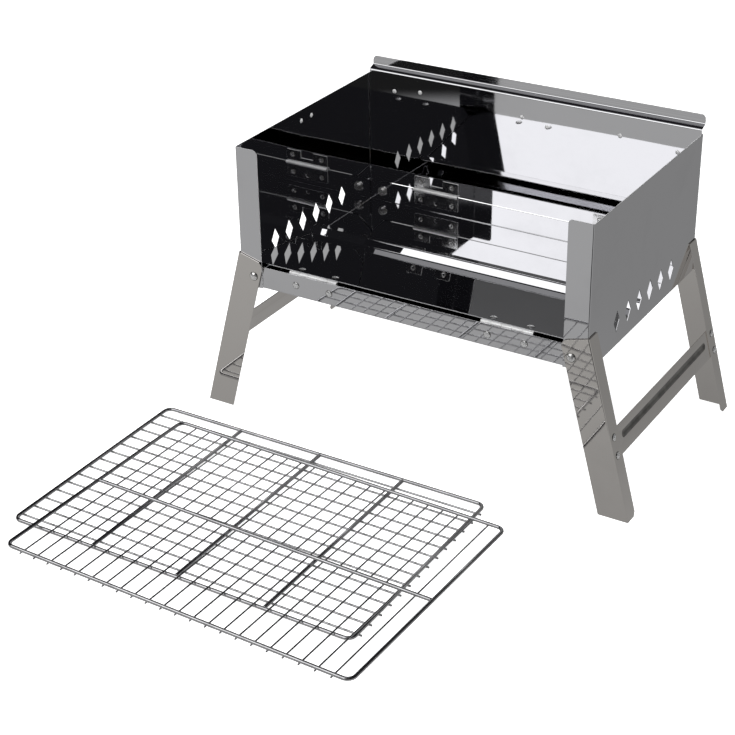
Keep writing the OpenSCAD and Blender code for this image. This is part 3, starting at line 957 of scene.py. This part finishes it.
def wire_row(name, wire_d, length, facing, places, sides=12):
    """Straight wires with their ends rounded off, one at each place."""
    wire = rod(name + "_master", wire_d / 2, length, facing, sides)
    axis = 0 if facing == FACING_SIDE else 1
    pick("EDGE", all_near(axis, length / 2))
    round_off(0.3 * wire_d, 2)
    row = set_of(wire, name, places)
    bpy.data.objects.remove(wire)
    return row


coal = grate_centre("charcoal_grate_frame")
COAL = moved(coal.x, coal.y, 0)
hand_over(wire_ring("charcoal_ring", COAL_W, COAL_D, COAL @ moved(0, 0, coal.z)),
          "charcoal_grate", "charcoal_grate_frame")
hand_over(
    wire_row("charcoal_long_wires", COAL_WIRE, 398, FACING_SIDE,
             [COAL @ moved(0, (i - (COAL_LINES - 1) / 2) * COAL_PITCH, COAL_WIRE / 2)
              for i in range(COAL_LINES)]),
    "charcoal_grate", "charcoal_grate_wires",
)
hand_over(
    wire_row("charcoal_cross_wires", FRAME_WIRE, between_sides(COAL_D), FACING_FRONT,
             [COAL @ moved(i * COAL_BARS + 1.8, 0, coal.z) for i in (-1, 0, 1)], 16),
    "charcoal_grate", "charcoal_grate_crossbars",
)
cook = grate_centre("cooking_grate_frame")
COOK = moved(cook.x, cook.y, 0) @ turn(COOK_TURN, "Z")
cook_wire_z = grate_centre("cooking_grate_wires").z
hand_over(wire_ring("cooking_ring", COOK_W, COOK_D, COOK @ moved(0, 0, cook.z)),
          "cooking_grate", "cooking_grate_frame")
hand_over(
    wire_row("cooking_cross_wires", COOK_WIRE, 277.2, FACING_FRONT,
             [COOK @ moved((i - (COOK_LINES - 1) / 2) * COOK_PITCH, 0, cook_wire_z)
              for i in range(COOK_LINES)]),
    "cooking_grate", "cooking_grate_wires",
)
hand_over(
    wire_row("cooking_middle_wire", FRAME_WIRE, between_sides(COOK_W), FACING_SIDE,
             [COOK @ moved(0, 0, cook.z)], 16),
    "cooking_grate", "cooking_grate_center_bar",
)
fresh()


# ---- Stage ----

def stage_plane(name, centre, size, turn=(0, 0, 0)):
    bpy.ops.object.select_all(action="DESELECT")
    bpy.ops.mesh.primitive_plane_add(size=1, location=centre, rotation=turn)
    plane = bpy.context.active_object
    plane.name = name
    plane.scale = (size[0], size[1], 1)
    return plane


def paint(plane, colour, glow, strength):
    material = bpy.data.materials.new(plane.name)
    material.use_nodes = True
    shader = material.node_tree.nodes["Principled BSDF"]
    shader.inputs["Base Color"].default_value = (*colour, 1)
    shader.inputs["Roughness"].default_value = 1.0
    shader.inputs["Specular IOR Level"].default_value = 0.0
    shader.inputs["Emission Color"].default_value = (*glow, 1)
    shader.inputs["Emission Strength"].default_value = strength
    plane.data.materials.append(material)


def only_in_reflections(plane):
    plane.visible_camera = False
    plane.visible_diffuse = False
    plane.visible_shadow = False


def reflection_card(name, centre, size, turn, glow, strength):
    card = stage_plane(name, centre, size, turn)
    paint(card, (0, 0, 0), glow, strength)
    only_in_reflections(card)
    return card


floor = stage_plane("floor", (0, 0, -0.0002), (60, 60))
paint(floor, (0.9, 0.9, 0.9), (1, 1, 1), 0.97)
floor.visible_glossy = False

# A far round wall that only the camera sees, so low views end in the same pale tone
bpy.ops.mesh.primitive_cylinder_add(vertices=48, radius=28, depth=24, end_fill_type="NOTHING")
backdrop = bpy.context.active_object
backdrop.name = "backdrop"
paint(backdrop, (0.9, 0.9, 0.9), (1, 1, 1), 1.0)
backdrop.visible_glossy = False
backdrop.visible_diffuse = False
backdrop.visible_shadow = False

world = bpy.data.worlds.new("studio")
world.use_nodes = True
world.node_tree.nodes["Background"].inputs[0].default_value = (0.014, 0.014, 0.016, 1)
bpy.context.scene.world = world


def shaded_card(name, centre, size, facing, shade):
    """A card seen only in reflections; shade turns a place on it into a grey."""
    card = stage_plane(name, centre, size, facing)
    solo(card)
    bpy.ops.object.transform_apply(location=True, rotation=True, scale=True)
    material, shader, start, place = new_material(name)
    corner = start.make("ShaderNodeSeparateXYZ", sockets={"Vector": place})
    x, y, z = (Field(start.tree, corner.socket.node.outputs[i]) for i in range(3))
    grey = shade(x, y, z)
    connect(shader, Base_Color=(0, 0, 0, 1), Specular_IOR_Level=0.0, Emission_Strength=1.0)
    connect(shader, Emission_Color=grey.blend((0, 0, 0), (1, 1, 1)))
    card.data.materials.append(material)
    only_in_reflections(card)
    return card


def floor_shade(x, y, z):
    """Brighter to the front and left, darker behind, dark far out in front to the right."""
    light = (-0.35 * x - 1.0 * y).step(-0.7, 0.55).between(0.25, 0.42)
    across = 0.87 * x + 0.5 * y
    far_out = (0.5 * x - 0.87 * y).step(0.36, 0.46)
    dark = far_out * across.step(-0.24, -0.17) * (1 - across.step(0.22, 0.3))
    return light * (1 - 0.96 * dark)


shaded_card("floor_tone", (0, 0, -0.0004), (40, 40), (0, 0, 0), floor_shade)


def facing_in(azimuth, elevation, distance):
    """A place and turn for a card that faces the grill from a direction in degrees."""
    az, el = math.radians(azimuth), math.radians(elevation)
    away = Vector((math.sin(az) * math.cos(el), -math.cos(az) * math.cos(el), math.sin(el)))
    return Vector((0, 0.1, 0.25)) + away * distance, away.to_track_quat("Z", "Y").to_euler()


softbox_place, softbox_turn = facing_in(-31, 39, 2.5)
reflection_card("softbox", softbox_place, (2.4, 1.9), softbox_turn, (1, 1, 1.01), 1.45)
rear_left_place, rear_left_turn = facing_in(-152, 11, 2.5)
reflection_card("rear_left_wall", rear_left_place, (2.2, 1.1), rear_left_turn, (1, 1, 1), 0.42)
reflection_card("ceiling", (-0.55, -0.5, 2.3), (2.2, 1.1), (0, 0, 0), (1, 1, 1.02), 0.34)
shaded_card("front_left_wall", (-1.5, -3.0, 0.8), (4.2, 1.6), (math.pi / 2, 0, math.radians(-22)),
            lambda x, y, z: z.step(0.1, 1.2).between(0.07, 0.14))
reflection_card("rear_wall", (0, 3.5, 0.95), (9, 1.9), (math.pi / 2, 0, 0), (1, 1, 1), 0.13)


def area_light(name, place, target, size, power):
    data = bpy.data.lights.new(name, "AREA")
    data.shape = "RECTANGLE"
    data.size, data.size_y = size
    data.energy = power
    light = bpy.data.objects.new(name, data)
    light.location = place
    light.rotation_euler = (Vector(target) - Vector(place)).to_track_quat("-Z", "Y").to_euler()
    light.visible_glossy = False
    bpy.context.scene.collection.objects.link(light)
    return light


area_light("overhead", (0.3, -0.6, 3.0), (0, 0, 0), (4, 4), 120)


# ---- Camera ----

AZIMUTH, ELEVATION, ROLL = (math.radians(a) for a in (31.671, 28.432, -0.934))
CAMERA_PLACE = Vector((0.80363, -1.31393, 0.95630))
right = Vector((math.cos(AZIMUTH), math.sin(AZIMUTH), 0))
back = Vector((
    math.sin(AZIMUTH) * math.cos(ELEVATION),
    -math.cos(AZIMUTH) * math.cos(ELEVATION),
    math.sin(ELEVATION),
))
up = back.cross(right)
camera_data = bpy.data.cameras.new("camera")
camera_data.lens = 85.98
camera_data.sensor_width = 36
camera = bpy.data.objects.new("camera", camera_data)
bpy.context.scene.collection.objects.link(camera)
rolled_right = right * math.cos(ROLL) + up * math.sin(ROLL)
rolled_up = up * math.cos(ROLL) - right * math.sin(ROLL)
camera.matrix_world = Matrix.Translation(CAMERA_PLACE) @ Matrix(
    (rolled_right, rolled_up, back)
).transposed().to_4x4()
bpy.context.scene.camera = camera

bpy.context.scene.view_settings.view_transform = "Standard"
